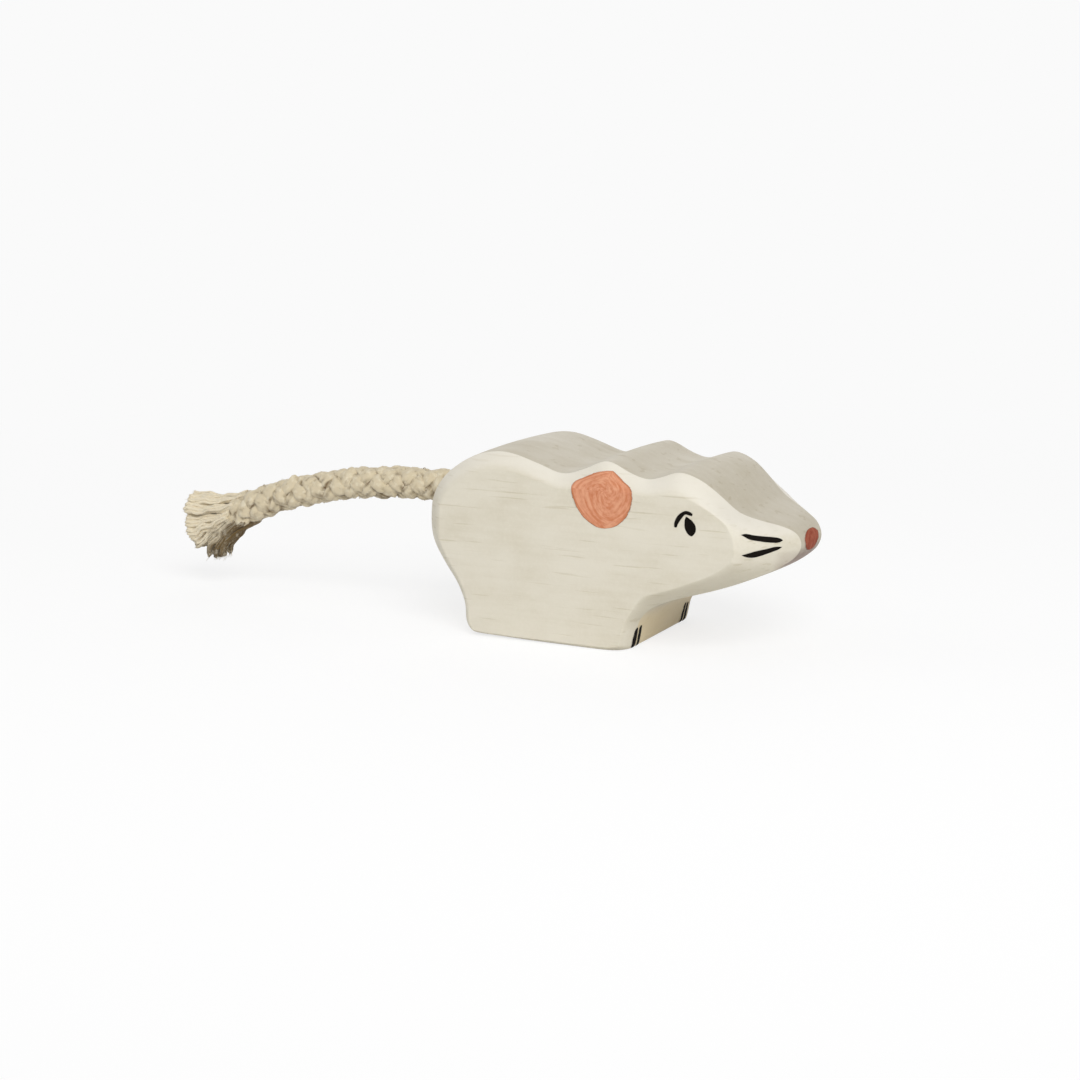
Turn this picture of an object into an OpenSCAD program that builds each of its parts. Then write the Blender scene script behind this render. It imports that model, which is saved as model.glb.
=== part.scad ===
// Wooden toy mouse, sawn from a plank, with a braided rope tail.
// Frame: +X towards the nose, +Z up, Y across the plank. Origin: middle of the base.

/* [Wood] */
// Length of the sawn figure from rump to nose
body_length = 42.7; // [36:0.1:60]
// Thickness of the plank
plank_t = 20; // [18:0.5:26]

/* [Tail] */
// Diameter of the rope
rope_d = 4; // [3:0.1:4.2]
// Diameter of the blind hole in the rump
hole_d = 4.4; // [4.4:0.1:5.2]
// Depth of the blind hole, measured from the rump
hole_depth = 8; // [6:0.5:10]

/* [Paint] */
// Thickness of the paint films
paint_t = 0.06; // [0.04:0.01:0.2]

/* [Hidden] */

k = body_length / 42.7;     // scale of everything laid out on the sawn outline
side_y = plank_t / 2;       // the flat sides
past = 1;                   // how far a cutter reaches past what it cuts

// Knots of the sawn outline, from the heel along the base, up the throat and round the head.
// Each holds the crease's x and z, the step in x and z from the crease to where the flat
// side begins, and how far the crease lies in from the flat side.
OUTLINE = [
    [-14.6, 0, 0.1, 0.5, 1.6],      // base, behind the heel's round
    [-9.5, 0, 0, 0.4, 1.0],
    [-3.5, 0, 0, 0.4, 0.6],
    [1.2, 0, -0.1, 0.4, 0.4],
    [2.9, 0, -0.6, 0.5, 1.3],       // toe
    [3.65, 0.25, -0.8, 0.45, 2.3],
    [3.9, 1.4, -0.8, 0.4, 2.4],
    [4.15, 2.6, -0.7, 0.6, 2.2],
    [4.85, 3.9, -0.5, 0.8, 1.9],    // throat
    [6.3, 5.15, -0.6, 1.3, 1.8],
    [8.6, 6.15, -0.4, 1.2, 1.9],
    [11.6, 7.05, -0.4, 1.5, 2.0],   // chin
    [14.4, 7.95, -0.5, 1.8, 2.3],
    [17.0, 8.95, -1.2, 2.2, 3.0],
    [19.4, 10.0, -3.3, 1.7, 4.8],
    [20.85, 11.1, -4.6, 1.0, 6.3],  // nose
    [21.45, 12.5, -5.2, 0.2, 6.7],
    [20.85, 13.8, -4.7, -0.4, 6.4],
    [19.4, 14.6, -3.4, -0.6, 5.5],
    [17.6, 15.25, -2.0, -0.5, 4.2],
    [15.6, 16.15, -0.6, -0.6, 3.1],
    [13.6, 17.95, -0.7, -1.1, 2.5],
    [11.6, 19.5, -0.9, -1.7, 2.0],
    [9.3, 20.28, -0.2, -2.2, 1.7],  // brow
    [7.3, 19.65, 0.1, -1.8, 1.5],
    [5.6, 19.28, 0, -1.6, 1.4],
    [3.5, 19.9, -0.5, -1.9, 1.3],
    [0.9, 21.02, 0, -2.4, 1.3],     // ear
    [-1.6, 20.05, 0.5, -2.0, 1.3],
    [-4.5, 19.2, 0, -1.5, 1.3],
    [-7.6, 20.15, 0.4, -1.6, 1.3],
    [-11.6, 21.2, 0.1, -1.8, 1.3],  // back
    [-15.4, 20.55, 0.5, -1.6, 1.4],
    [-18.9, 18.4, 1.1, -1.3, 1.5],
    [-20.8, 15.9, 1.7, -0.6, 1.6],
    [-21.25, 13.4, 1.8, 0, 1.6],    // rump
    [-20.95, 10.6, 1.5, 0.3, 1.5],
    [-19.4, 8.05, 1.1, 0.5, 1.3],
    [-17.65, 5.75, 0.9, 0.4, 1.1],
    [-16.65, 3.5, 0.8, 0.2, 1.0],
    [-16.55, 1.4, 0.8, 0.4, 1.1],   // heel
    [-15.9, 0.3, 0.5, 0.6, 1.4],
];
SPANS = 3;                          // curve pieces between two knots
ROUND = [0, 0.35, 0.75, 1];         // rings across the rounding, from crease to flat side
round_power = 1.35;                 // 1 would be a straight chamfer, 2 a full round

// Centre line of the rope, x and z, from the rump to where the yarns come loose
ROUTE = [
    [-21.25, 15], [-23.5, 15.1], [-26, 15.1], [-28.5, 15.1], [-31, 15], [-33.5, 14.8],
    [-36, 14.5], [-38.5, 14.1], [-41, 13.6], [-43.5, 13], [-46, 12.3], [-48.5, 11.5],
    [-50.5, 10.7], [-52.2, 9.9], [-53.6, 9.1],
];
ROPE_SIDES = 8;

// Outlines of the painted marks on the right side, x and z, each a smooth closed curve
EAR = [[-3, 18.15], [-2.6, 18.7], [-1.5, 19.2], [-0.4, 19.7], [0.8, 20], [1.8, 20.05],
    [2.4, 19.65], [3.25, 19], [4.1, 18.4], [4.45, 17.8], [4.4, 16.7], [4, 15.6], [3.4, 14.8],
    [2.4, 14.05], [1.4, 13.75], [0.3, 13.8], [-0.5, 14.15], [-1.5, 14.85], [-2.2, 15.7],
    [-2.7, 16.75], [-2.95, 17.6]];
EYE = [[10.7, 15.85], [11.3, 15.5], [11.7, 15.1], [11.85, 14.7], [11.8, 14.2], [11.5, 13.8],
    [11.3, 13.75], [11, 13.9], [10.7, 14.3], [10.55, 14.75], [10.55, 15.4]];
EYELID = [[9.35, 14.65], [9.4, 15.2], [9.7, 15.8], [10.2, 16.25], [10.7, 16.45], [11.2, 16.35],
    [11.45, 16.15], [11.35, 15.95], [11.05, 16], [10.6, 16.05], [10.2, 15.6], [9.8, 15],
    [9.65, 14.6], [9.5, 14.55]];
WHISKERS = [
    [[16.7, 14.2], [17.1, 14.25], [17.7, 14.05], [18.5, 13.85], [19.5, 13.6], [19.9, 13.4],
     [20.05, 13.2], [19.7, 13.05], [18.9, 13.2], [18.25, 13.4], [17.5, 13.65], [17.05, 13.95]],
    [[16.9, 12.05], [17.6, 12.25], [18.1, 12.4], [19, 12.55], [19.55, 12.65], [20.05, 12.55],
     [19.75, 12.3], [19.1, 12.05], [18.55, 11.85], [17.95, 11.7], [17.45, 11.75], [17.1, 11.9]],
];
// The claws' strokes, distance in from the flat side and z, on the rounded front of the foot
CLAWS = [
    [[1.9, 0.15], [2.45, 0.1], [2.5, 1.3], [2.4, 2.3], [2.2, 2.5], [2, 2.2], [1.9, 1.2]],
    [[3, 0.15], [3.6, 0.15], [3.6, 1.4], [3.5, 2.45], [3.3, 2.65], [3.1, 2.3], [3, 1.3]],
];
left_claws_in = 0.9;                // the left foot's claws sit that much further in
NOSE = [0, 12.6];                   // middle of the nose's paint, y and z
NOSE_R = [2.2, 1.1];                // its half width and half height

// The stretches of the outline, first and last knot, that carry each mark's sheet of paint
EAR_KNOTS = [25, 29];
SNOUT_KNOTS = [12, 20];
NOSE_KNOTS = [14, 18];
TOE_KNOTS = [4, 8];
low_ear = 13;                       // z where the ear's sheet ends on the flat side
toe_in = 5.2;                       // how far in from the flat side the toe's sheet ends
EXIT = [k * ROUTE[0][0], k * ROUTE[0][1]];  // x and z where the rope leaves the rump
glue_end = 0.3;                             // glue behind the root at the bottom of the hole
glue_mouth = 1.5;                           // the glue stops short of the hole's mouth

// Balls that the tuft's loose yarns fill: x, z and radius, each set twice across the plank
TUFT = [[-59.4, 9.9, 1.6], [-59.5, 7.5, 1.7], [-57, 5.3, 1.9], [-55.2, 5.5, 1.6]];
tuft_half = 0.9;                            // half the distance between a pair
tuft_neck = 0.2;                            // length of the rope's own section at the tuft

// A point at t on the smooth curve between b and c, with neighbours a and d
function between(a, b, c, d, t) =
    ((2 * b) + (c - a) * t + (2 * a - 5 * b + 4 * c - d) * t * t
    + (3 * b - a - 3 * c + d) * t * t * t) / 2;

// The knots joined by smooth curves; the base stays flat at z = 0
CREASE = [
    for (i = [0 : len(OUTLINE) - 1], j = [0 : SPANS - 1])
        let (n = len(OUTLINE),
             p = between(OUTLINE[(i + n - 1) % n], OUTLINE[i], OUTLINE[(i + 1) % n],
                         OUTLINE[(i + 2) % n], j / SPANS))
        [p[0], max(0, p[1]), p[2], p[3], p[4]]
];

// One ring of the side's rounding: t = 0 on the crease, 1 where the flat side begins.
// side is -1 or 1.
function ring(side, t) = [
    for (p = CREASE)
        [k * (p[0] + p[2] * t), side * (side_y - p[4] * pow(1 - t, round_power)), k * (p[1] + p[3] * t)]
];

// Faces that join rings of n points each into a closed skin, with flat ends
function skin_faces(rings, n) = concat(
    [[for (i = [n - 1 : -1 : 0]) i]],
    [for (r = [0 : rings - 2], i = [0 : n - 1]) let (a = r * n, b = a + n, j = (i + 1) % n)
        each [[a + i, a + j, b + j], [a + i, b + j, b + i]]],
    [[for (i = [0 : n - 1]) (rings - 1) * n + i]]
);

module sawn_figure() {
    rounds = len(ROUND);
    polyhedron(
        points = concat(
            [for (r = [rounds - 1 : -1 : 0]) each ring(-1, ROUND[r])],
            [for (r = [0 : rounds - 1]) each ring(1, ROUND[r])]),
        faces = skin_faces(2 * rounds, len(CREASE)),
        convexity = 8);
}

// A cylinder along X between two places on the tail hole's axis
module along_hole(x0, x1, d) {
    translate([x0, 0, EXIT[1]])
        rotate([0, 90, 0])
            cylinder(h = x1 - x0, d = d, $fn = 64);
}

module wooden_body() {
    color("ivory")
        difference() {
            sawn_figure();
            along_hole(EXIT[0] - past, EXIT[0] + hole_depth, hole_d);
        }
}

module tail_root() {
    color("wheat")
        along_hole(EXIT[0], EXIT[0] + hole_depth - glue_end, rope_d);
}

module tail_glue() {
    color("khaki")
        difference() {
            along_hole(EXIT[0] + glue_mouth, EXIT[0] + hole_depth, hole_d);
            along_hole(EXIT[0], EXIT[0] + hole_depth - glue_end, rope_d);
        }
}

// Direction of the route at point i, from its two neighbours
function heading(i) =
    let (a = ROUTE[max(0, i - 1)], b = ROUTE[min(len(ROUTE) - 1, i + 1)], d = b - a)
    d / norm(d);

// The polygon around the rope's centre line at route point i
function rope_ring(i) =
    let (c = ROUTE[i], h = i == 0 ? [-1, 0] : heading(i))
    [for (s = [0 : ROPE_SIDES - 1])
        let (turn = 360 * (s + 0.5) / ROPE_SIDES, r = rope_d / 2)
        [k * c[0] - r * cos(turn) * h[1], r * sin(turn), k * c[1] + r * cos(turn) * h[0]]];

module tail_rope() {
    color("wheat")
        polyhedron(
            points = [for (i = [0 : len(ROUTE) - 1]) each rope_ring(i)],
            faces = skin_faces(len(ROUTE), ROPE_SIDES),
            convexity = 4);
}

module tail_tuft() {
    last = len(ROUTE) - 1;
    neck = tuft_neck * [heading(last)[0], 0, heading(last)[1]];
    color("wheat")
        hull() {
            polyhedron(
                points = concat(rope_ring(last), [for (p = rope_ring(last)) p + neck]),
                faces = skin_faces(2, ROPE_SIDES));
            for (b = TUFT, side = [-1, 1])
                translate([k * b[0], side * tuft_half, k * b[1]])
                    sphere(r = b[2], $fn = 20);
        }
}

// A smooth closed outline through points laid out on the sawn figure
function smooth(points) = [
    for (i = [0 : len(points) - 1], j = [0 : SPANS - 1])
        let (n = len(points))
        k * between(points[(i + n - 1) % n], points[i], points[(i + 1) % n],
                    points[(i + 2) % n], j / SPANS)
];

// The part of a row of points between two knots
function stretch(row, knots) = [for (i = [knots[0] * SPANS : knots[1] * SPANS]) row[i]];

// Rows of the right side's rounding, from the flat side to the crease
function rounding_rows(knots) = [
    for (r = [len(ROUND) - 1 : -1 : 0]) stretch(ring(-1, ROUND[r]), knots)
];

// The normal of a grid of points at row r and column c
function grid_normal(g, r, c) =
    let (across = g[min(r + 1, len(g) - 1)][c] - g[max(r - 1, 0)][c],
         along = g[r][min(c + 1, len(g[0]) - 1)] - g[r][max(c - 1, 0)],
         n = cross(across, along))
    n / norm(n);

// A sheet of the paint's thickness that lies on the wood over a grid of its points
module sheet(g) {
    rows = len(g);
    cols = len(g[0]);
    n = rows * cols;
    function at(r, c) = r * cols + c;
    // the edge's points in order, round the grid
    edge = concat(
        [for (c = [0 : cols - 1]) at(0, c)],
        [for (r = [1 : rows - 1]) at(r, cols - 1)],
        [for (c = [cols - 2 : -1 : 0]) at(rows - 1, c)],
        [for (r = [rows - 2 : -1 : 1]) at(r, 0)]);
    polyhedron(
        points = concat(
            [for (row = g) each row],
            [for (r = [0 : rows - 1], c = [0 : cols - 1])
                g[r][c] + paint_t * grid_normal(g, r, c)]),
        faces = concat(
            [for (r = [0 : rows - 2], c = [0 : cols - 2], far = [0, 1])
                let (a = at(r, c), b = at(r + 1, c), m = far * n)
                each far == 1
                    ? [[m + a, m + a + 1, m + b + 1], [m + a, m + b + 1, m + b]]
                    : [[b + 1, a + 1, a], [b, b + 1, a]]],
            [for (i = [0 : len(edge) - 1])
                let (a = edge[i], b = edge[(i + 1) % len(edge)])
                each [[a, b, b + n], [a, b + n, a + n]]]),
        convexity = 6);
}

// What a mark's outline, seen from the right side, cuts out of a sheet
module seen_from_side(outline) {
    intersection() {
        children();
        rotate([90, 0, 0])
            linear_extrude(side_y + past)
                polygon(smooth(outline));
    }
}

module ear_paint() {
    knots = EAR_KNOTS;
    flat = [for (p = stretch(ring(-1, 1), knots)) [p[0], p[1], k * low_ear]];
    color("darksalmon")
        seen_from_side(EAR)
            sheet(concat([flat], rounding_rows(knots)));
}

// A film on the flat right side
module flat_film(outline) {
    translate([0, -side_y, 0])
        rotate([90, 0, 0])
            linear_extrude(paint_t)
                polygon(smooth(outline));
}

module eye_paint() {
    color("black")
        flat_film(EYE);
}

module eyelid_paint() {
    color("black")
        flat_film(EYELID);
}

module whisker_paint() {
    color("black")
        for (w = WHISKERS)
            seen_from_side(w)
                sheet(rounding_rows(SNOUT_KNOTS));
}

module nose_paint() {
    color("indianred")
        intersection() {
            sheet([stretch(ring(-1, 0), NOSE_KNOTS), stretch(ring(1, 0), NOSE_KNOTS)]);
            rotate([90, 0, 90])
                linear_extrude(body_length)
                    polygon([for (a = [0 : 15 : 345])
                        [NOSE[0] + NOSE_R[0] * cos(a), k * NOSE[1] + NOSE_R[1] * sin(a)]]);
        }
}

module claw_paint(further_in) {
    crease = stretch(ring(-1, 0), TOE_KNOTS);
    front = [for (p = crease) [p[0], toe_in - side_y, p[2]]];
    color("black")
        for (c = CLAWS)
            intersection() {
                sheet(concat(rounding_rows(TOE_KNOTS), [front]));
                rotate([90, 0, 90])
                    linear_extrude(body_length)
                        polygon([for (p = c) [p[0] + further_in - side_y, k * p[1]]]);
            }
}

module to_left() {
    mirror([0, 1, 0])
        children();
}

wooden_body();
tail_root();
tail_glue();
tail_rope();
tail_tuft();
ear_paint();  // ear_paint_right
to_left() ear_paint();  // ear_paint_left
eye_paint();  // eye_paint_right
to_left() eye_paint();  // eye_paint_left
eyelid_paint();  // eyelid_paint_right
to_left() eyelid_paint();  // eyelid_paint_left
whisker_paint();  // whisker_paint_right
to_left() whisker_paint();  // whisker_paint_left
nose_paint();
claw_paint(0);  // claw_paint_right
to_left() claw_paint(left_claws_in);  // claw_paint_left
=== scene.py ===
"""A sawn, white-glazed wooden mouse with a braided cotton tail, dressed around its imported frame."""

from bisect import bisect_right
import math
import random

import bmesh
import bpy
from mathutils import Matrix, Vector, noise


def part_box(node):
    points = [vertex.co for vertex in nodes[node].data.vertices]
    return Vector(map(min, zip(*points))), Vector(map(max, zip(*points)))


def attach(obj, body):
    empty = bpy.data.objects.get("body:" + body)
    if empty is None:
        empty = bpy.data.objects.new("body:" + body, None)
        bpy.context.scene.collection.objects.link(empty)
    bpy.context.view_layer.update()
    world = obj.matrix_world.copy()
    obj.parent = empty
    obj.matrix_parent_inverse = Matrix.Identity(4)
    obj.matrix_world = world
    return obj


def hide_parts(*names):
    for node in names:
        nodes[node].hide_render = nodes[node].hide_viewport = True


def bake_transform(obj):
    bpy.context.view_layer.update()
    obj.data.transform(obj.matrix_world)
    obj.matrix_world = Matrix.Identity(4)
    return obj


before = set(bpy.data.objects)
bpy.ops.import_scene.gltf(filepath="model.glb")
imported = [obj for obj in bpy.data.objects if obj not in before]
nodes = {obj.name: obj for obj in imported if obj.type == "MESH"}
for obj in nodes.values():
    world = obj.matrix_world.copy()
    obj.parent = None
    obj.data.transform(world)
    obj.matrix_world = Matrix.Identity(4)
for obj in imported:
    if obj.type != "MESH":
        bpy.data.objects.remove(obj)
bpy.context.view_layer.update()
MM = 0.001

# ---------------------------------------------------------------------------------------------
# The camera: a long lens held low before the mouse's right side and turned a little to its face.
# ---------------------------------------------------------------------------------------------
AIM = Vector((-0.0116, 0, 0.00962))
TURN, RISE = 26.02, 11.07    # degrees round from the right side to the face, and up
DISTANCE = 0.25545
LENS, FILM_WIDTH = 73.33, 36  # in the millimetres that Blender's cameras use


def towards(turn, rise):
    """The direction to what stands so many degrees round from the right side, and so many up."""
    turn, rise = math.radians(turn), math.radians(rise)
    return Vector((math.sin(turn) * math.cos(rise), -math.cos(turn) * math.cos(rise), math.sin(rise)))


back = towards(TURN, RISE)
bpy.ops.object.camera_add(location=AIM + DISTANCE * back)
camera = bpy.context.object
camera.name = "camera"
camera.rotation_euler = back.to_track_quat("Z", "Y").to_euler()
camera.data.lens = LENS
camera.data.sensor_width = FILM_WIDTH
camera.data.clip_start = 0.01
bpy.context.scene.camera = camera


# ---------------------------------------------------------------------------------------------
# The rope: a round braid of eight soft cotton strands, four wound each way, one over one under.
# It comes straight out of the hole in the rump, where glue holds it, and droops towards its loose
# end. The braid slackens there, and here and there a yarn has been pulled up out of a strand.
# ---------------------------------------------------------------------------------------------
def smooth(a, b, c, d, t):
    """The point at share t of the way from b to c, on a smooth line through all four."""
    return (2 * b + (c - a) * t + (2 * a - 5 * b + 4 * c - d) * t**2
            + (3 * b - a - 3 * c + d) * t**3) / 2


class Line:
    """A smooth line through points, walked by distance from point number zero. steps is how
    many straight pieces it has from each point to the next."""

    def __init__(self, points, zero=0, steps=20):
        self.points, self.far = [points[0]], [0.0]
        for i in range(len(points) - 1):
            a, b = points[max(i - 1, 0)], points[i]
            c, d = points[i + 1], points[min(i + 2, len(points) - 1)]
            if i == zero:
                start = len(self.points) - 1
            for t in (j / steps for j in range(1, steps + 1)):
                p = smooth(a, b, c, d, t)
                self.far.append(self.far[-1] + (p - self.points[-1]).length)
                self.points.append(p)
        self.far = [s - self.far[start] for s in self.far]
        self.end = self.far[-1]

    def at(self, s):
        """The point at distance s and the line's direction there."""
        i = min(max(bisect_right(self.far, s) - 1, 0), len(self.far) - 2)
        a, b = self.points[i], self.points[i + 1]
        share = (s - self.far[i]) / (self.far[i + 1] - self.far[i])
        before, after = self.points[max(i - 2, 0)], self.points[min(i + 3, len(self.points) - 1)]
        return a + (b - a) * share, (after - before).normalized()


def active(obj):
    """Makes obj the only chosen object, for the operators that follow."""
    bpy.ops.object.select_all(action="DESELECT")
    obj.select_set(True)
    bpy.context.view_layer.objects.active = obj
    return obj


class Tubes:
    """Closed tubes gathered into one mesh, with how far along each, how far round and its shade."""

    def __init__(self):
        self.points, self.faces, self.places, self.shades = [], [], [], []

    def add(self, rings, along, shade):
        """Skins rings of points. along gives each ring's distance and shade its lightness."""
        first, n = len(self.points), len(rings[0])
        for ring, s, tone in zip(rings, along, shade):
            self.points += ring
            self.shades += [tone] * n if isinstance(tone, float) else tone
        for r in range(len(rings) - 1):
            for i in range(n):
                a, b = first + r * n, first + (r + 1) * n
                j = (i + 1) % n
                self.faces.append((a + i, a + j, b + j, b + i))
                u, v = along[r] / MM, along[r + 1] / MM
                self.places += [(u, i / n), (u, (i + 1) / n), (v, (i + 1) / n), (v, i / n)]
        for r, turn in ((0, -1), (len(rings) - 1, 1)):
            cap = [first + r * n + i for i in range(n)][::turn]
            self.faces.append(tuple(cap))
            self.places += [(along[r] / MM, 0.5)] * n

    def made(self, name):
        """The tubes as one object, shaded smooth."""
        mesh = bpy.data.meshes.new(name)
        mesh.from_pydata(self.points, [], self.faces)
        mesh.uv_layers.new(name="along").data.foreach_set("uv", [c for p in self.places for c in p])
        mesh.attributes.new("shade", "FLOAT", "POINT").data.foreach_set("value", self.shades)
        obj = bpy.data.objects.new(name, mesh)
        bpy.context.collection.objects.link(obj)
        active(obj)
        bpy.ops.object.shade_smooth()
        return obj


ROUTE = [Vector((x * MM, 0, z * MM)) for x, z in (
    (-21.25, 15), (-23.5, 15.1), (-26, 15.1), (-28.5, 15.1), (-31, 15), (-33.5, 14.8),
    (-36, 14.5), (-38.5, 14.1), (-41, 13.6), (-43.5, 13), (-46, 12.3), (-48.5, 11.5),
    (-50.5, 10.7), (-52.2, 9.9), (-53.6, 9.1))]
ROPE_D = 4 * MM
HOLE_END = Vector((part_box("tail_root")[1].x, 0, ROUTE[0].z))
rope_line = Line([HOLE_END] + ROUTE, zero=1)
STRANDS = 4                  # each way round
LEAD = 2.8 * ROPE_D          # the length in which a strand goes once round
WEAVE_R = 1.0 * MM           # the strands' middle, between over and under
WEAVE_RISE = 0.32 * MM       # how far they rise over and dive under each other
STRAND_HALF = (0.95 * MM, 0.57 * MM)  # half the width and half the thickness of a strand
YARNS = 6                    # ridges round a strand, one for each yarn that shows
STRAND_SIDES = 24
STRAND_STEP = 0.14 * MM
SLACK_FROM = 9 * MM          # how far before the rope's end the braid begins to slacken
SLACK = 0.12                 # how much thicker it has grown at its end
THIN_FROM = 1.2 * MM         # how far before its end the strands begin to thin out
PAST_END = 0.9 * MM          # how far they run on into the tuft
THINNED = 0.5                # what they have lost of their thickness there
SUNK = 0.5                   # how far they have sunk in there, in mm
SWELL = 0.07                 # how much thicker a strand is on top of the others than midway
# Where yarns are pulled up and how high, in mm, and half the length that each pulls up with it
SNAGS = [(3.4, 0.6), (13.3, 0.7), (15.1, 0.6), (23.3, 0.8), (28.5, 0.5)]
SNAG_HALF = 0.35
Y = Vector((0, 1, 0))


def slackened(s):
    """How much thicker than where it is tight the braid is at distance s."""
    t = min(max((s - rope_line.end + SLACK_FROM) / SLACK_FROM, 0), 1)
    return 1 + SLACK * t


def strand_centre(s, way, number):
    """The middle of a strand at distance s, and the direction out from the rope's middle."""
    middle, ahead = rope_line.at(s)
    up = ahead.cross(Y) * (1 if ahead.x > 0 else -1)
    angle = way * 2 * math.pi * s / LEAD + number * 2 * math.pi / STRANDS
    out = math.cos(angle) * up + math.sin(angle) * Y
    lift = way * math.cos(2 * STRANDS * math.pi * s / LEAD)
    return middle + (WEAVE_R * slackened(s) + WEAVE_RISE * lift) * out, out, lift


def strand_frame(s, way, number):
    """The middle of a strand with its direction, the way across it, the way out and its lift."""
    middle, out, lift = strand_centre(s, way, number)
    ahead = (strand_centre(s + STRAND_STEP / 4, way, number)[0] - middle).normalized()
    across = out.cross(ahead).normalized()
    return middle, ahead, across, ahead.cross(across), lift


def braid(tubes, start, stop, thin_over=0):
    """Adds the eight strands of a stretch of the rope. They thin out over a length at its end."""
    chance = random.Random(3)
    count = round((stop - start) / STRAND_STEP)
    for way in (-1, 1):
        for number in range(STRANDS):
            wander = [chance.uniform(0, 2 * math.pi) for _ in range(6)]
            rings, along, shade = [], [], []
            for i in range(count + 1):
                s = start + (stop - start) * i / count
                middle, _, across, out, lift = strand_frame(s, way, number)
                u = s / MM
                thin = max(0, (s - stop + thin_over) / thin_over) if thin_over else 0
                # no strand is quite even: each swells and wanders sideways, out and in as it goes
                plump = (1 + SWELL * lift + 0.05 * math.sin(1.3 * u + wander[0])
                         + 0.04 * math.sin(2.9 * u + wander[1])) * slackened(s) * (1 - THINNED * thin)
                aside = 0.09 * math.sin(1.1 * u + wander[2])
                outward = 0.05 * math.sin(1.7 * u + wander[3]) - SUNK * thin**2
                middle = middle + (aside * across + outward * out) * MM
                ring, tones = [], []
                for k in range(STRAND_SIDES):
                    psi = 2 * math.pi * k / STRAND_SIDES
                    ridge = math.cos(YARNS * psi + way * u * 0.9 + wander[4])
                    lump = math.sin(2 * psi + 1.9 * u + wander[5])
                    skin = STRAND_HALF[0] * math.cos(psi) * across + STRAND_HALF[1] * math.sin(psi) * out
                    spot = (middle + skin) / MM
                    # dents and tufts of wool, coarse and fine, and snags on the rope's upper side
                    wool = 0.16 * noise.noise(spot * 1.7) + 0.1 * noise.noise(spot * 4.3)
                    above = max(0, skin.normalized().z) ** 2 * max(0, out.z) ** 3
                    peak = sum(high * math.exp(-((u - at) / SNAG_HALF) ** 2)
                               for at, high in SNAGS) * above
                    ring.append(middle + plump * (1 + 0.05 * ridge + 0.03 * lump + wool) * skin
                                + peak * MM * out)
                    # painted light where it stands out, and painted shade where it lies deep: under the
                    # other strands, between yarns, in dents and on a strand's inner side
                    tones.append(0.2 + 0.44 * lift + 0.2 * ridge + 0.42 * math.sin(psi) + 1.6 * wool)
                rings.append(ring)
                along.append(s)
                shade.append(tones)
            tubes.add(rings, along, shade)


def fibre(tubes, points, r, sides, tone, ends=(1, 1)):
    """Adds one fibre or yarn through points. r and tone are its radius and its lightness at each,
    and ends is what its tips keep of the radius."""
    line = Line(points, steps=2)
    count = len(points) - 1
    skin = []
    for i in range(count + 1):
        middle, ahead = line.at(line.end * i / count)
        u = ahead.orthogonal().normalized() if abs(ahead.y) > 0.9 else ahead.cross(Y).normalized()
        v = u.cross(ahead)
        thick = r[i] * (ends[0] if i == 0 else ends[1] if i == count else 1)
        skin.append([middle + thick * (math.cos(a) * v + math.sin(a) * u)
                     for a in (2 * math.pi * k / sides for k in range(sides))])
    tubes.add(skin, [line.end * i / count for i in range(count + 1)], tone)


FLUFF = 700                  # loose fibres
LOOP_POINTS = 7              # in each of them


def fluff(tubes, start, stop):
    """Adds loose fibres that stand off the strands in small loops."""
    chance = random.Random(5)
    for _ in range(FLUFF):
        s = chance.uniform(start, stop)
        middle, ahead, across, out, lift = strand_frame(
            s, chance.choice((-1, 1)), chance.randrange(STRANDS))
        if lift < -0.3:
            continue
        foot = middle + out * STRAND_HALF[1] * 0.96 * slackened(s)
        lean = (ahead * chance.uniform(-1, 1) + across * chance.uniform(-0.6, 0.6)).normalized()
        width = chance.uniform(0.3, 0.7) * MM
        height = chance.uniform(0.06, 0.24) * MM
        thick = chance.uniform(0.02, 0.05) * MM
        points = [foot + lean * width * (t - 0.5) + out * (height * math.sin(math.pi * t) - 0.06 * MM)
                  for t in (k / (LOOP_POINTS - 1) for k in range(LOOP_POINTS))]
        fibre(tubes, points, [thick] * LOOP_POINTS, 5, [0.8] * LOOP_POINTS)


class Value:
    """An output of a finish's nodes. A sum written with it becomes Math nodes."""

    def __init__(self, finish, socket):
        self.finish, self.socket = finish, socket

    def maths(self, operation, a, b):
        return self.finish.add("ShaderNodeMath", {"operation": operation}, {0: a, 1: b})

    def __add__(self, other):
        return self.maths("ADD", self, other)

    def __sub__(self, other):
        return self.maths("SUBTRACT", self, other)

    def __rsub__(self, other):
        return self.maths("SUBTRACT", other, self)

    def __mul__(self, other):
        return self.maths("MULTIPLY", self, other)

    def __pow__(self, other):
        return self.maths("POWER", self, other)

    __radd__ = __add__
    __rmul__ = __mul__


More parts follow.
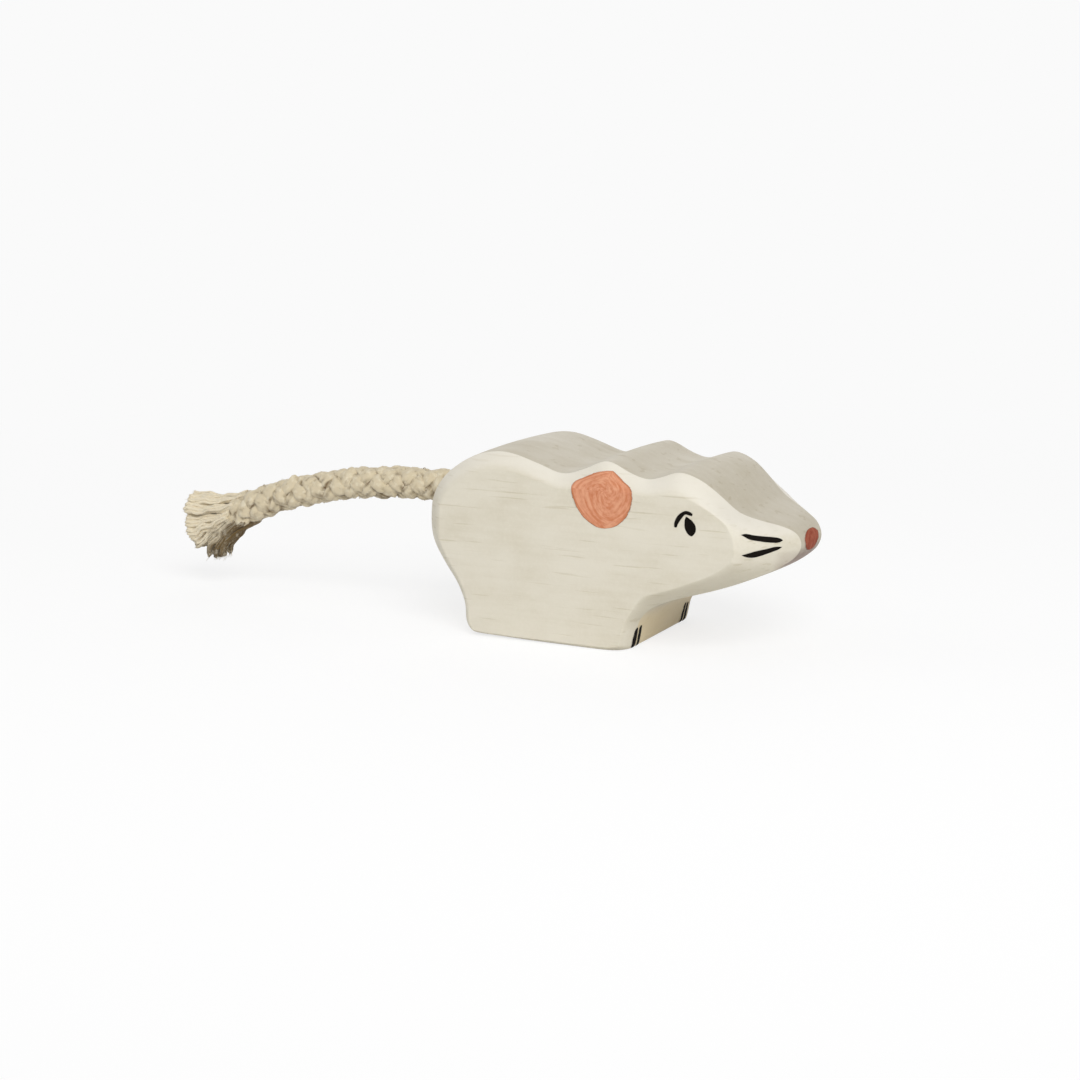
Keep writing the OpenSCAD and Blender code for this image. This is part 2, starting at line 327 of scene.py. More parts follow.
class Finish:
    """The nodes of one material, or of the world, with a short name for each kind used."""

    def __init__(self, name, kind="materials"):
        self.made = getattr(bpy.data, kind).new(name)
        self.made.use_nodes = True
        self.tree = self.made.node_tree
        self.tree.nodes.clear()

    def add(self, kind, settings=None, sockets=None, out=0):
        """Adds a node of a kind, sets it up, feeds its sockets and returns one of its outputs."""
        node = self.tree.nodes.new(kind)
        for key, value in (settings or {}).items():
            setattr(node, key, value)
        for key, value in (sockets or {}).items():
            if isinstance(value, Value):
                self.tree.links.new(value.socket, node.inputs[key])
            else:
                node.inputs[key].default_value = value
        return Value(self, node.outputs[out]) if node.outputs else None

    def parts(self, vector):
        """The X, Y and Z of a vector."""
        split = self.add("ShaderNodeSeparateXYZ", {}, {0: vector})
        return [Value(self, out) for out in split.socket.node.outputs]

    def noise(self, place, scale, detail=2, rough=0.5):
        """Soft noise about 0.5, with as many grains to the metre along X, Y and Z as scale says."""
        spread = self.add("ShaderNodeMapping", {}, {"Vector": place, "Scale": scale})
        return self.add("ShaderNodeTexNoise", {}, {
            "Vector": spread, "Scale": 1, "Detail": detail, "Roughness": rough})

    def ramp(self, value, low, high):
        """0 where a value is under low, 1 where it is over high, and a soft step between."""
        return self.add("ShaderNodeMapRange", {"interpolation_type": "SMOOTHSTEP"},
                        {"Value": value, "From Min": low, "From Max": high})

    def mix(self, share, a, b):
        """One colour going over into another."""
        return self.add("ShaderNodeMix", {"data_type": "RGBA"}, {0: share, 6: a, 7: b}, out=2)

    def bump(self, height, depth, strength=1.0):
        """A normal for relief of a depth in metres."""
        return self.add("ShaderNodeBump", {}, {
            "Height": height, "Distance": depth, "Strength": strength})

    def surface(self, **sockets):
        """Ends the nodes in a Principled surface."""
        named = {key.replace("_", " "): value for key, value in sockets.items()}
        shader = self.add("ShaderNodeBsdfPrincipled", {}, named)
        self.add("ShaderNodeOutputMaterial", {}, {"Surface": shader})
        return self.made


def colour(red, green, blue):
    """A colour as the screen shows it, from 0 to 255, made linear."""
    return tuple(((c / 255 + 0.055) / 1.055) ** 2.4 for c in (red, green, blue)) + (1,)


def cotton(name, strand_tint, crease_shade):
    """Undyed cotton: fibres along each yarn, with painted shade, dark and brownish, where yarns dive
    under each other and on the underside, and painted light on top.
    """
    f = Finish(name)
    along = f.add("ShaderNodeUVMap", {"uv_map": "along"})
    place = f.add("ShaderNodeTexCoord", out="Object")
    upward = f.parts(f.add("ShaderNodeTexCoord", out="Normal"))[2]
    shade = f.add("ShaderNodeAttribute", {"attribute_name": "shade"}, out="Fac")
    fibre = f.noise(along, (2.2, 46, 1), 3, 0.6)
    fleck = f.noise(place, (1500, 1500, 1500), 3, 0.6)
    drift = f.noise(place, (420, 420, 420), 3, 0.6)
    # painted light and shade: the shade kept on the mesh, lighter where the surface looks up and darker
    # where it looks down
    tone = f.ramp(shade + 0.6 * (fibre - 0.5) + 1.6 * (drift - 0.5) + 0.2 * upward, 0.0, 0.95)
    body = f.mix(tone, crease_shade, strand_tint)
    pale = f.mix(f.ramp(fleck, 0.5, 0.7) * 0.45, body, colour(240, 232, 210))
    return f.surface(
        Base_Color=pale, Roughness=0.9, Sheen_Weight=0.25, Sheen_Roughness=0.5,
        Specular_IOR_Level=0.25, Normal=f.bump(fibre + 0.8 * fleck, 0.08 * MM))


tubes = Tubes()
braid(tubes, 0, rope_line.end + PAST_END, THIN_FROM + PAST_END)
fluff(tubes, MM, rope_line.end)
rope = tubes.made("braided_rope")
rope.data.materials.append(cotton("rope_cotton", colour(216, 202, 172), colour(104, 81, 48)))
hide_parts("tail_rope")

# ---------------------------------------------------------------------------------------------
# The end of the rope in the hole: the same cotton braid, going on straight to the hole's end.
# It was pushed into wet glue, which has set round it.
# ---------------------------------------------------------------------------------------------
tubes = Tubes()
braid(tubes, rope_line.far[0], 0)
rope_end = tubes.made("rope_in_hole")
rope_end.data.materials.append(rope.data.materials[0])
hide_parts("tail_root")
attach(rope_end, "mouse")

# ---------------------------------------------------------------------------------------------
# The tuft: the rope's eight cotton strands opened into locks of yarn, which keep the waves of the
# braid. They fan from straight ahead, where they are cut square, to straight down, where they are
# ragged. Nothing holds them but the end of the braid that they come out of.
# ---------------------------------------------------------------------------------------------
# Where the locks' ends lie, from the top one round to the one that hangs down
FAN_RIM = Line([Vector((x * MM, 0, z * MM)) for x, z in (
    (-60.1, 11.3), (-60.2, 10.2), (-60.2, 9), (-60.2, 7.7), (-59.9, 6.4), (-58.9, 5.1),
    (-57.4, 4.3), (-55.9, 4.1), (-54.8, 4.2))])
FAN_HALF = 1.5 * MM                 # half the fan's depth
# Each lock: how much longer it is in mm, the width it keeps at its tip and how unevenly it is cut
LOCKS = [(0, 1, 0.12), (0.1, 1, 0.12), (0, 1, 0.12), (-0.1, 0.95, 0.15), (0, 0.75, 0.3),
         (-0.4, 0.45, 0.7), (0.4, 0.6, 0.3), (0, 0.35, 0.9)]
LOW_SHADE = 1.05                        # how much painted shade darkens and browns the lowest yarns, which lie in the dark
GATHERED = 0.12                     # how far the yarns of a lock draw together
FIRST_ROOT = 0.3 * MM               # how far past the rope's end the middle yarns leave the braid
ROOTS_BACK = 3.4 * MM               # how much sooner the highest and the lowest do
ROOT_R = (1.8 * MM, 2.05 * MM)      # how far from the rope's middle the outer yarns leave it, at
                                    # its sides and at its top and bottom
AHEAD, FURTHER = 176, 96            # degrees that the top yarns' tips point to, and how many more
                                    # the lowest yarns have turned
YARNS_IN_TUFT = 60
YARN_HALF = (0.3 * MM, 0.56 * MM)   # half a yarn's width at its root and near its tip
PLIES = 9                           # fine yarns laid together in each of them
PLY_R = (0.14 * MM, 0.25 * MM)      # at the root, and where it has fluffed up near its tip
PLY_SIDES = 7
PLY_RINGS = 22
HAIR_R = 0.03 * MM                  # of the single hairs that stand out of every third ply
PLY_TURN = 1.4                      # how far the plies turn round their yarn, in radians
GOLDEN = math.pi * (3 - math.sqrt(5))


def bent(t, start, leave, arrive, end):
    """The point at t, from 0 to 1, of a curve held by its ends and two points between them."""
    return ((1 - t) ** 3 * start + 3 * (1 - t) ** 2 * t * leave + 3 * (1 - t) * t * t * arrive
            + t**3 * end)


chance = random.Random(11)
tubes = Tubes()
end_point, end_ahead = rope_line.at(rope_line.end)
# how high and how long the waves of each lock are, and where they begin
waves = [(chance.uniform(0.1, 0.2) * MM, chance.uniform(2.6, 3.6) * MM, chance.uniform(0, 2 * math.pi))
         for _ in LOCKS]
for yarn in range(YARNS_IN_TUFT):
    # places spread evenly over the rope's round section, from its middle out
    reach, spin = math.sqrt((yarn + 0.5) / YARNS_IN_TUFT), yarn * GOLDEN
    rise, depth = reach * math.cos(spin), reach * math.sin(spin)
    chord = math.sqrt(1 - rise**2)
    # of all the yarns, this share lies above it, in the rope as in the fan
    above = 0.5 - (rise * chord + math.asin(rise)) / math.pi
    lock = min(int(above * len(LOCKS)), len(LOCKS) - 1)
    longer, keeps, uneven = LOCKS[lock]
    # painted shade on the yarns that lie lowest in the fan, strongest near their roots
    low_shade = LOW_SHADE * min(max((above - 0.5) / 0.4, 0), 1) + chance.uniform(-0.1, 0.1)
    gap = above - (lock + 0.5) / len(LOCKS)
    middle, ahead = rope_line.at(rope_line.end + FIRST_ROOT - ROOTS_BACK * abs(rise) ** 1.5)
    root_r = ROOT_R[0] + (ROOT_R[1] - ROOT_R[0]) * abs(rise)
    root = middle + root_r * (rise * -ahead.cross(Y) + depth * Y)
    angle = math.radians(AHEAD + FURTHER * above**1.8)
    way = Vector((math.cos(angle), 0, math.sin(angle)))
    side = way.cross(Y)
    tip = FAN_RIM.at(FAN_RIM.end * (above - GATHERED * gap))[0] + FAN_HALF * depth / chord * Y
    tip = tip + longer * MM * way
    far = (tip - root).length
    wave, wave_length, phase = waves[lock]
    phase += chance.uniform(-0.5, 0.5)
    for ply in range(PLIES):
        share, spin = math.sqrt((ply + 0.5) / PLIES), ply * GOLDEN
        cut = chance.uniform(-1, 0.3) * uneven * MM
        own = chance.uniform(0, 2 * math.pi)
        # painted shade: plies are darker deep between yarns, and yarns darker between locks
        lit = 1.15 - 0.15 * share**2 - 0.3 * abs(gap) * len(LOCKS) + 0.08 * math.sin(own)
        points, thick, tones = [], [], []
        for i in range(PLY_RINGS):
            t = i / (PLY_RINGS - 1)
            middle = bent(t, root, root + ahead * far * 0.34, tip - way * far * 0.34, tip + way * cut)
            opened = t * t * (3 - 2 * t)
            half = YARN_HALF[0] + (YARN_HALF[1] - YARN_HALF[0]) * opened
            half *= 1 - (1 - keeps) * max(0, (t - 0.6) / 0.4)    # narrower towards a ragged tip
            middle = middle + half * share * (
                math.cos(spin + PLY_TURN * t) * side + math.sin(spin + PLY_TURN * t) * Y)
            sway = wave * math.sin(2 * math.pi * t * far / wave_length + phase)
            curl = 0.04 * MM * math.sin(5 * t * far / MM + own)
            points.append(middle + min(1, 2.5 * t) * ((sway + curl) * side + 0.5 * sway * Y))
            thick.append((PLY_R[0] + (PLY_R[1] - PLY_R[0]) * opened) * (
                1 - (1 - keeps) * 0.9 * max(0, (t - 0.75) / 0.25)))
            tones.append(lit - low_shade * (1 - 0.35 * t * t))
        fibre(tubes, points, thick, PLY_SIDES, tones, (0.5, 0.5))
        if ply % 3 == 2:
            # a hair runs on past the ply's tip and strays
            hair, onward = points[-5:], points[-1] - points[-3]
            for k in (1, 2):
                stray = Vector([chance.uniform(-1, 1) for _ in range(3)])
                hair.append(points[-1] + onward * 0.4 * k + stray * 0.08 * MM * k)
            fibre(tubes, hair, [HAIR_R] * len(hair), 3, [0.9] * len(hair), (1, 0.3))
tuft = tubes.made("combed_tuft")
tuft.data.materials.append(cotton("tuft_cotton", colour(248, 235, 206), colour(108, 86, 46)))
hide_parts("tail_tuft")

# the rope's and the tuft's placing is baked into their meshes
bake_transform(rope)
end_point + 2.5 * MM * end_ahead
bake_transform(tuft)

# ---------------------------------------------------------------------------------------------
# The body: a figure sawn from a plank and sanded round along both sides, then brushed with a
# thin white glaze that leaves the grain showing. The rope's hole is drilled into the rump.
# ---------------------------------------------------------------------------------------------
HOLE_D = 4.4 * MM
CREASE_ROUND = 0.12 * MM     # the soft edge where the rounded side meets the sawn edge
FLAT_RIM = 0.12 * MM         # a strip of the flat side that the rounding runs into
CROWN = 0.2 * MM             # how far sanding has left the sawn edge's middle proud of its rims
ROUND_LOSS = 0.06 * MM       # what rounding the creases takes off them, put on first
STRIP_CUTS = 7               # across the sawn edge, which makes eight even strips


def edit(elements):
    """Opens edit mode on vertices, edges or faces."""
    bpy.ops.object.mode_set(mode="EDIT")
    bpy.ops.mesh.select_mode(type=elements)


def choose(obj, wanted):
    """Opens edit mode with only those faces chosen that pass a test on the face."""
    edit("FACE")
    bpy.ops.mesh.select_all(action="DESELECT")
    bpy.ops.object.mode_set(mode="OBJECT")
    for face in obj.data.polygons:
        face.select = wanted(face)
    edit("FACE")


def apply(obj, kind, **settings):
    """Adds a modifier with these settings and applies it."""
    modifier = obj.modifiers.new(kind.lower(), kind)
    for key, value in settings.items():
        setattr(modifier, key, value)
    bpy.ops.object.modifier_apply(modifier=modifier.name)


def glazed_wood(name, pale, wood, worn, above, below, bare_and_lit):
    """White glaze on fine-grained wood: grain along X, growth rings nearly in line with the sides.
    worn is how much of the wood shows through. above tints what looks up, as painted light, and below
    what looks down, as painted shade, each with a colour and how strongly. bare is how thin the glaze is
    on the leg's front, and how much painted light that face takes."""
    f = Finish(name)
    place = f.add("ShaderNodeTexCoord", out="Object")
    x, y, z = f.parts(place)
    ahead, _, upward = f.parts(f.add("ShaderNodeTexCoord", out="Normal"))
    # the rings lie 1.9 mm apart and waver
    waver = f.noise(place, (22, 70, 70), 2, 0.5)
    ring = f.add("ShaderNodeMath", {"operation": "SINE"}, {0: y * 3300 + waver * 26})
    streak = f.noise(place, (90, 900, 1300), 3, 0.65)
    line = f.ramp(f.noise(place, (130, 900, 3000), 1, 0.4), 0.64, 0.72)
    cloud = f.noise(place, (150, 220, 260), 3, 0.6)
    speck = f.noise(place, (2400, 2400, 2400), 2, 0.7)
    shows = (0.4 + 0.6 * (streak - 0.5) + 0.06 * ring + 1.2 * (cloud - 0.5)
             + 0.6 * (speck - 0.5)) * worn
    base = f.mix(f.ramp(shows + 0.3 * line, 0.0, 1.0), pale, wood)
    # painted light on the surfaces that look up, and painted shade on those that look down
    base = f.mix(f.ramp(upward + 0.3 * (cloud - 0.5), 0.2, 0.75) * above[1], base, above[0])
    base = f.mix(f.ramp(upward + 0.3 * (cloud - 0.5), -0.15, -0.7) * below[1], base, below[0])
    # the leg's front, tan where the glaze is thin and lighter there as painted light
    leg = f.ramp(z, 8 * MM, 4 * MM) * f.ramp(ahead, 0.4, 0.95)
    base = f.mix(leg * bare_and_lit, base, colour(230, 212, 173))
    # painted shade under the nose: reddish brown on the wood that looks down at the snout's tip
    shade_under_nose = f.ramp(x, 18.9 * MM, 20.4 * MM) * f.ramp(upward, -0.1, -0.6)
    base = f.mix(shade_under_nose * 0.75, base, colour(126, 98, 88))
    dusty = f.mix(f.ramp(speck, 0.52, 0.75) * 0.15, base, colour(232, 228, 214))
    rough = 0.52 + 0.25 * (cloud - 0.5) + 0.2 * (streak - 0.5)
    relief = 0.5 * streak + 0.5 * speck - 0.4 * line
    return f.surface(Base_Color=dusty, Roughness=rough, Specular_IOR_Level=0.35,
                     Normal=f.bump(relief, 0.035 * MM, 0.8))


sanded = glazed_wood("glazed_side", colour(224, 218, 202), colour(196, 186, 160), 0.6,
                     (colour(236, 231, 220), 0.6), (colour(196, 188, 165), 0.5), 0)
sawn = glazed_wood("glazed_sawn_edge", colour(196, 188, 170), colour(168, 155, 126), 0.55,
                   (colour(194, 186, 168), 0.2), (colour(182, 174, 152), 0.3), 0.75)

body = bpy.data.objects.new("glazed_body", nodes["wooden_body"].data.copy())
bpy.context.collection.objects.link(body)
active(body)
body.data.materials.clear()
body.data.materials.append(sanded)
body.data.materials.append(sawn)
edit("VERT")
bpy.ops.mesh.customdata_custom_splitnormals_clear()
# the facets of the CAD's mesh are joined where they meet
bpy.ops.mesh.select_all(action="SELECT")
bpy.ops.mesh.remove_doubles(threshold=0.002 * MM)


def in_hole(face):
    """Whether a face is a wall or the end of the tail's hole."""
    points = [body.data.vertices[i].co for i in face.vertices]
    return all(math.hypot(p.y, p.z - ROUTE[0].z) < HOLE_D / 2 + 0.02 * MM and p.x < HOLE_END.x + MM
               for p in points)


# the sawn edge and the hole are taken away, which leaves the two rounded sides
choose(body, lambda face: abs(face.normal.y) < 0.02 or in_hole(face))
bpy.ops.mesh.delete(type="FACE")
# each flat becomes one face inside a narrow strip, and the rounding is in quads
choose(body, lambda face: abs(face.normal.y) > 0.9999)
bpy.ops.mesh.dissolve_faces(use_verts=False)
bpy.ops.mesh.inset(thickness=FLAT_RIM, depth=0, use_even_offset=False)
choose(body, lambda face: len(face.vertices) == 3)
bpy.ops.mesh.tris_convert_to_quads(
    face_threshold=math.pi, shape_threshold=math.pi, topology_influence=2)
# the sawn edge comes back in even strips between the two rims, which are marked for bevelling
edit("EDGE")
bpy.ops.mesh.select_all(action="SELECT")
bpy.ops.mesh.region_to_loop()
bpy.ops.transform.edge_bevelweight(value=1)
bpy.ops.mesh.bridge_edge_loops(number_cuts=STRIP_CUTS, interpolation="LINEAR")
edit("FACE")
body.active_material_index = 1
bpy.ops.object.material_slot_assign()
# the two flats stay open until the rest has been smoothed, so that they stay flat
choose(body, lambda face: len(face.vertices) > 4)
bpy.ops.mesh.delete(type="ONLY_FACE")
bpy.ops.object.mode_set(mode="OBJECT")
FLAT_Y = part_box("wooden_body")[1].y - 0.01 * MM    # beyond this lie only the flat sides
FOOT = 2 * MM                # below this height the edge is raised less and less


def column(vertex):
    """What tells one line of vertices across the sawn edge from the others."""
    return round(vertex.co.x / MM, 2), round(vertex.co.z / MM, 2)


widest = {}
for vertex in body.data.vertices:
    widest[column(vertex)] = max(widest.get(column(vertex), 0), abs(vertex.co.y))
raised = []
for vertex in body.data.vertices:
    share = abs(vertex.co.y) / widest[column(vertex)]
    proud = 0 if abs(vertex.co.y) > FLAT_Y else ROUND_LOSS + CROWN * (1 - share**2)
    # nothing is raised at the foot, so that the mouse stands flat
    raised.append(vertex.co + vertex.normal * proud * min(1, vertex.co.z / FOOT))
for vertex, place in zip(body.data.vertices, raised):
    vertex.co = place
apply(body, "BEVEL", limit_method="WEIGHT", width=CREASE_ROUND, segments=2)
apply(body, "SUBSURF", levels=2, render_levels=2)
edit("EDGE")
bpy.ops.mesh.select_all(action="SELECT")
bpy.ops.mesh.fill_holes(sides=0)
bpy.ops.mesh.normals_make_consistent(inside=False)
bpy.ops.object.mode_set(mode="OBJECT")
# the drill is centred on the hole's mouth, so it is twice as long as the hole is deep
bpy.ops.mesh.primitive_cylinder_add(
    vertices=72, radius=HOLE_D / 2, depth=2 * (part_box("tail_glue")[1].x - ROUTE[0].x),
    location=ROUTE[0], rotation=(0, math.pi / 2, 0))
drill = bpy.context.object
drill.data.materials.append(sawn)
active(body)
apply(body, "BOOLEAN", object=drill, operation="DIFFERENCE", material_mode="TRANSFER")
bpy.data.objects.remove(drill)
bpy.ops.object.shade_smooth_by_angle(angle=math.radians(40))
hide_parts("wooden_body")
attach(body, "mouse")

# ---------------------------------------------------------------------------------------------
# Glue: white wood glue that has dried clear and yellowish round the end of the rope in the hole.
# It keeps the shape that the hole and the rope gave it.
# ---------------------------------------------------------------------------------------------
f = Finish("dried_glue")
place = f.add("ShaderNodeTexCoord", out="Object")
blobs = f.noise(place, (500, 500, 500), 3)
nodes["tail_glue"].data.materials.clear()
nodes["tail_glue"].data.materials.append(f.surface(
    Base_Color=f.mix(blobs, colour(222, 205, 150), colour(196, 170, 110)),
    Roughness=0.18 + 0.2 * blobs, Normal=f.bump(blobs, 0.2 * MM)))


# ---------------------------------------------------------------------------------------------
# The painted marks: thin films of matt paint, put on with a brush over the glaze, the same on
# both sides. Each is a film between two edges that the brush followed, pressed on to the wood.
# ---------------------------------------------------------------------------------------------
PAINT = 0.04 * MM            # how thick it lies
OFF_WOOD = 2 * MM            # how far off the wood a film starts before it is pressed on
SWIRL = (0.55, 0.45)         # the place on a film that round strokes go round


def smooth_edge(points, t):
    """The point at share t, from 0 to 1, of a smooth line through points."""
    spans = len(points) - 1
    i = min(int(t * spans), spans - 1)
    t = t * spans - i
    a, b, c, d = (points[min(max(i + k, 0), spans)] for k in (-1, 0, 1, 2))
    return tuple(smooth(*four, t) for four in zip(a, b, c, d))


def painted(name, node, edges, cells, looking, finish):
    """A film of paint. edges holds pairs of edges, in mm from the low corner of the CAD film,
    and looking is the axis, X or Y, along which it is laid on the wood."""
    low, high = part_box(node)
    parts = []
    for one, other in edges:
        bpy.ops.mesh.primitive_grid_add(x_subdivisions=cells[0], y_subdivisions=cells[1], size=1)
        part = bpy.context.object
        for vertex in part.data.vertices:
            share, along = vertex.co.x + 0.5, vertex.co.y + 0.5
            a, b = smooth_edge(one, along), smooth_edge(other, along)
            w, z = (p + (q - p) * share for p, q in zip(a, b))
            if looking == "Y":
                vertex.co = (low.x + w * MM, low.y - OFF_WOOD, low.z + z * MM)
            else:
                vertex.co = (high.x + OFF_WOOD, low.y + w * MM, low.z + z * MM)
        parts.append(part)
    part = active(parts[0])
    if len(parts) > 1:
        for other in parts:
            other.select_set(True)
        bpy.ops.object.join()
    part.name = name
    part.data.name = name
    part.matrix_world = Matrix.Identity(4)
    apply(part, "SHRINKWRAP", target=body, wrap_method="PROJECT", use_negative_direction=True,
          use_positive_direction=True, **{f"use_project_{looking.lower()}": True})
    edit("VERT")
    bpy.ops.mesh.select_all(action="SELECT")
    bpy.ops.mesh.remove_doubles(threshold=0.001 * MM)
    bpy.ops.mesh.normals_make_consistent(inside=False)
    bpy.ops.object.mode_set(mode="OBJECT")
    ahead = sum((p.normal * p.area for p in part.data.polygons), Vector())
    if (ahead.x if looking == "X" else -ahead.y) < 0:
        part.data.flip_normals()
    apply(part, "SOLIDIFY", thickness=PAINT, offset=1)
    bpy.ops.object.shade_smooth_by_angle(angle=math.radians(50))
    part.data.materials.clear()
    part.data.materials.append(finish)
    return part


def both_sides(part, stem):
    """Gives a right-hand film its left-hand twin and hands both to the body. stem is what the
    names of the CAD films that they stand for begin with."""
    active(part)
    bpy.ops.object.duplicate()
    twin = bpy.context.object
    twin.name = f"{stem}_left_film"
    edit("VERT")
    bpy.ops.mesh.select_all(action="SELECT")
    bpy.ops.transform.mirror(constraint_axis=(False, True, False), center_override=(0, 0, 0))
    bpy.ops.object.mode_set(mode="OBJECT")
    shell = bmesh.new()
    shell.from_mesh(twin.data)
    if shell.calc_volume(signed=True) < 0:
        twin.data.flip_normals()
    shell.free()
    for film, side in ((part, "right"), (twin, "left")):
        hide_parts(f"{stem}_{side}")
        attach(film, "mouse")


def brushed_paint(name, thick, thin, ragged, strokes=(26, 2), soft=0.06, rim_tint=None,
                  round_and_round=False):
    """Matt paint with brush strokes along the film, or round its middle, and edges that run out
    unevenly. soft is how far in the paint thins out, and rim_tint the colour of paint that has
    gathered at the edge."""
    f = Finish(name)
    on_film = f.add("ShaderNodeTexCoord", out="UV")
    place = f.add("ShaderNodeTexCoord", out="Object")
    u, v, _ = f.parts(on_film)
    grain = f.noise(place, (1800, 1800, 1800), 3, 0.6)
    way = on_film
    if round_and_round:
        right, up = u - SWIRL[0], v - SWIRL[1]
        turned = u.maths("ARCTAN2", up, right)
        far = (right ** 2 + up ** 2) ** 0.5
        way = f.add("ShaderNodeCombineXYZ", {}, {0: far + 0.06 * turned, 1: turned})
    stroke = f.noise(way, (strokes[0], strokes[1], 1), 3, 0.6)
    rim = (u * (1 - u)) * (v * (1 - v)) * 16
    cover = f.ramp(rim + ragged * (grain - 0.5), 0.0, soft)
    tone = f.ramp(stroke + 0.4 * (grain - 0.5), 0.3, 0.7)
    tint = f.mix(tone, thick, thin)
    if rim_tint:
        tint = f.mix((1 - f.ramp(rim + 0.3 * (stroke - 0.5), 0.05, 0.3)) * 0.6, tint, rim_tint)
    return f.surface(
        Base_Color=tint, Roughness=0.7 + 0.2 * (grain - 0.5),
        Specular_IOR_Level=0.06, Alpha=cover, Normal=f.bump(stroke + 0.5 * grain, 0.03 * MM))


EAR_EDGES = [(
    [(4.82, 6.32), (3.82, 6.27), (2.62, 5.97), (1.52, 5.47), (0.42, 4.97), (0.02, 4.42), (0.07, 3.87),
     (0.32, 3.02), (0.82, 1.97), (1.52, 1.12), (2.52, 0.42), (3.32, 0.07), (4.22, 0.02)],
    [(4.82, 6.32), (5.42, 5.92), (6.27, 5.27), (7.12, 4.67), (7.47, 4.07), (7.42, 2.97), (7.02, 1.87),
     (6.42, 1.07), (5.42, 0.32), (4.22, 0.02)],
)]
ear = painted("ear_right_film", "ear_paint_right", EAR_EDGES, (40, 40), "Y", brushed_paint(
    "salmon_paint", colour(203, 128, 92), colour(224, 163, 130), 0.15, (18, 1.2), 0.1,
    colour(188, 116, 80), True))
both_sides(ear, "ear_paint")

black = brushed_paint("black_paint", colour(8, 7, 6), colour(26, 20, 16), 0.08)
EYE_EDGES = [(
    [(0.17, 2.12), (0.02, 1.67), (0.02, 1.02), (0.17, 0.57), (0.47, 0.17), (0.77, 0.02)],
    [(0.17, 2.12), (0.77, 1.77), (1.17, 1.37), (1.32, 0.97), (1.27, 0.47), (0.97, 0.07), (0.77, 0.02)],
)]
eye = painted("eye_right_film", "eye_paint_right", EYE_EDGES, (16, 24), "Y", black)
both_sides(eye, "eye_paint")

EYELID_EDGES = [(
    [(0.16, 0.02), (0.01, 0.12), (0.06, 0.67), (0.36, 1.27), (0.86, 1.72), (1.36, 1.92), (1.86, 1.82),
     (2.11, 1.62), (2.06, 1.52)],
    [(0.16, 0.02), (0.31, 0.07), (0.46, 0.47), (0.86, 1.07), (1.26, 1.52), (1.71, 1.47), (2.01, 1.42),
     (2.06, 1.52)],
)]
eyelid = painted("eyelid_right_film", "eyelid_paint_right", EYELID_EDGES, (8, 30), "Y", black)
both_sides(eyelid, "eyelid_paint")

WHISKER_EDGES = [
    ([(0.01, 2.52), (0.41, 2.57), (1.01, 2.37), (1.81, 2.17), (2.81, 1.92), (3.21, 1.72), (3.36, 1.52)],
     [(0.01, 2.52), (0.36, 2.27), (0.81, 1.97), (1.56, 1.72), (2.21, 1.52), (3.01, 1.37), (3.36, 1.52)]),
    ([(0.21, 0.37), (0.91, 0.57), (1.41, 0.72), (2.31, 0.87), (2.86, 0.97), (3.36, 0.87)],
     [(0.21, 0.37), (0.41, 0.22), (0.76, 0.07), (1.26, 0.02), (1.86, 0.17), (2.41, 0.37), (3.06, 0.62),
      (3.36, 0.87)]),
]
whiskers = painted("whisker_right_film", "whisker_paint_right", WHISKER_EDGES, (10, 40), "Y", black)
both_sides(whiskers, "whisker_paint")

CLAW_EDGES = [
    ([(0, 0.05), (0, 1.1), (0.1, 2.1), (0.3, 2.4)], [(0.65, 0), (0.7, 1.2), (0.55, 2.2), (0.3, 2.4)]),
    ([(1.05, 0.05), (1, 1.2), (0.95, 2.2), (1.15, 2.5)],
     [(1.7, 0.05), (1.65, 1.3), (1.45, 2.3), (1.15, 2.5)]),
]
CLAW_SPAN = 1.7              # across both claws of a foot
LEFT_CLAW_EDGES = [tuple([(CLAW_SPAN - w, z) for w, z in edge] for edge in pair) for pair in CLAW_EDGES]
for side, edges in (("right", CLAW_EDGES), ("left", LEFT_CLAW_EDGES)):
    claws = painted(f"claw_{side}_film", f"claw_paint_{side}", edges, (6, 24), "X", black)
    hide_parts(f"claw_paint_{side}")
    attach(claws, "mouse")

NOSE_EDGES = [(
    [(2.1, 2.25), (0.7, 2.1), (-0.3, 1.55), (-0.3, 0.8), (0.6, 0.15), (2.2, -0.05)],
    [(2.1, 2.25), (3.4, 2.15), (4.25, 1.7), (4.2, 1.2), (3.85, 0.65), (3.2, 0.05), (2.2, -0.05)],
)]
nose = painted("nose_film", "nose_paint", NOSE_EDGES, (30, 24), "X", brushed_paint(
    "red_paint", colour(142, 68, 50), colour(172, 100, 78), 0.5, (5, 2), 0.35))
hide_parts("nose_paint")
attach(nose, "mouse")

# ---------------------------------------------------------------------------------------------
# The table top and the light: a pale sheet that runs out into an even pale ground, one large
# soft lamp beside the camera, weaker ones behind and to the left, and light from all round.
# ---------------------------------------------------------------------------------------------
GROUND = colour(250, 250, 250)
ROUND_LIGHT = 0.36           # the light from all round
SHEET_LIT = 0.707            # how light the sheet lies near the mouse
SHADE_KEPT = 0.3             # how much of the mouse's shadow shows on it
RUN_OUT = (0.05, 0.2)        # where it begins to run out into the ground, and where it ends
LAMP_FAR = 0.6


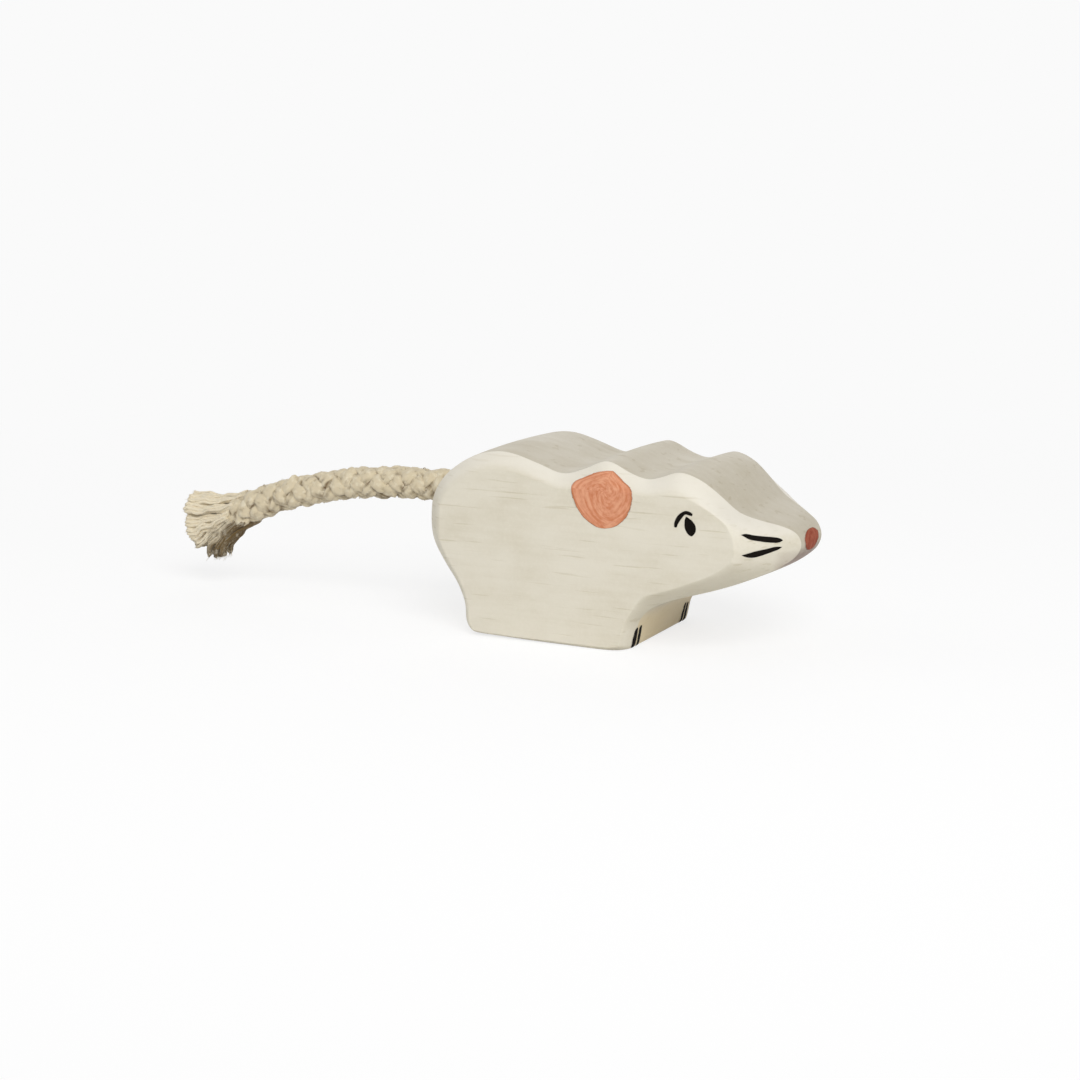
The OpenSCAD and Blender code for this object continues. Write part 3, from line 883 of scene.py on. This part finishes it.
def seen_ray(f):
    """1 for rays that the lens, a gloss or a clear thing sends out, and 0 for light itself."""
    path = f.add("ShaderNodeLightPath")
    outs = path.socket.node.outputs
    seen = path.maths("MAXIMUM", path, Value(f, outs["Is Glossy Ray"]))
    return path.maths("MAXIMUM", seen, Value(f, outs["Is Transmission Ray"]))


f = Finish("pale_sheet")
place = f.add("ShaderNodeTexCoord", out="Object")
x, y, _ = f.parts(place)
far = f.ramp((x * x + y * y) ** 0.5, *RUN_OUT)
sheet = f.add("ShaderNodeBsdfDiffuse", {}, {"Color": colour(246, 246, 246)})
lift = (GROUND[0] - SHADE_KEPT * SHEET_LIT) / (1 - SHADE_KEPT)
near = f.add("ShaderNodeEmission", {}, {"Color": (1, 1, 1, 1), "Strength": lift})
even = f.add("ShaderNodeEmission", {}, {"Color": GROUND})
shaded = f.add("ShaderNodeMixShader", {}, {0: seen_ray(f) * (1 - SHADE_KEPT), 1: sheet, 2: near})
f.add("ShaderNodeOutputMaterial", {}, {"Surface": f.add(
    "ShaderNodeMixShader", {}, {0: far * seen_ray(f), 1: shaded, 2: even})})
bpy.ops.mesh.primitive_circle_add(vertices=96, radius=3, fill_type="NGON")
floor = bpy.context.object
floor.name = "floor"
floor.data.materials.append(f.made)

f = Finish("ground_light", "worlds")
bpy.context.scene.world = f.made
soft = f.add("ShaderNodeBackground", {}, {"Color": (1, 1, 1, 1), "Strength": ROUND_LIGHT})
plain = f.add("ShaderNodeBackground", {}, {"Color": GROUND})
f.add("ShaderNodeOutputWorld", {}, {"Surface": f.add(
    "ShaderNodeMixShader", {}, {0: seen_ray(f), 1: soft, 2: plain})})

# each lamp: how far round and up it stands, its size, and the light that it throws on the mouse
for name, turn, rise, size, light in (
        ("front_lamp", 38, 38, 0.35, 0.66),
        ("back_lamp", 200, 30, 0.4, 0.15),
        ("side_lamp", -75, 25, 0.4, 0.1)):
    away = towards(turn, rise)
    bpy.ops.object.light_add(type="AREA", location=AIM + LAMP_FAR * away,
                             rotation=away.to_track_quat("Z", "Y").to_euler())
    lamp = bpy.context.object
    lamp.name = name
    lamp.data.size = size
    lamp.data.energy = light * (LAMP_FAR * math.pi) ** 2

bpy.context.scene.view_settings.view_transform = "Standard"
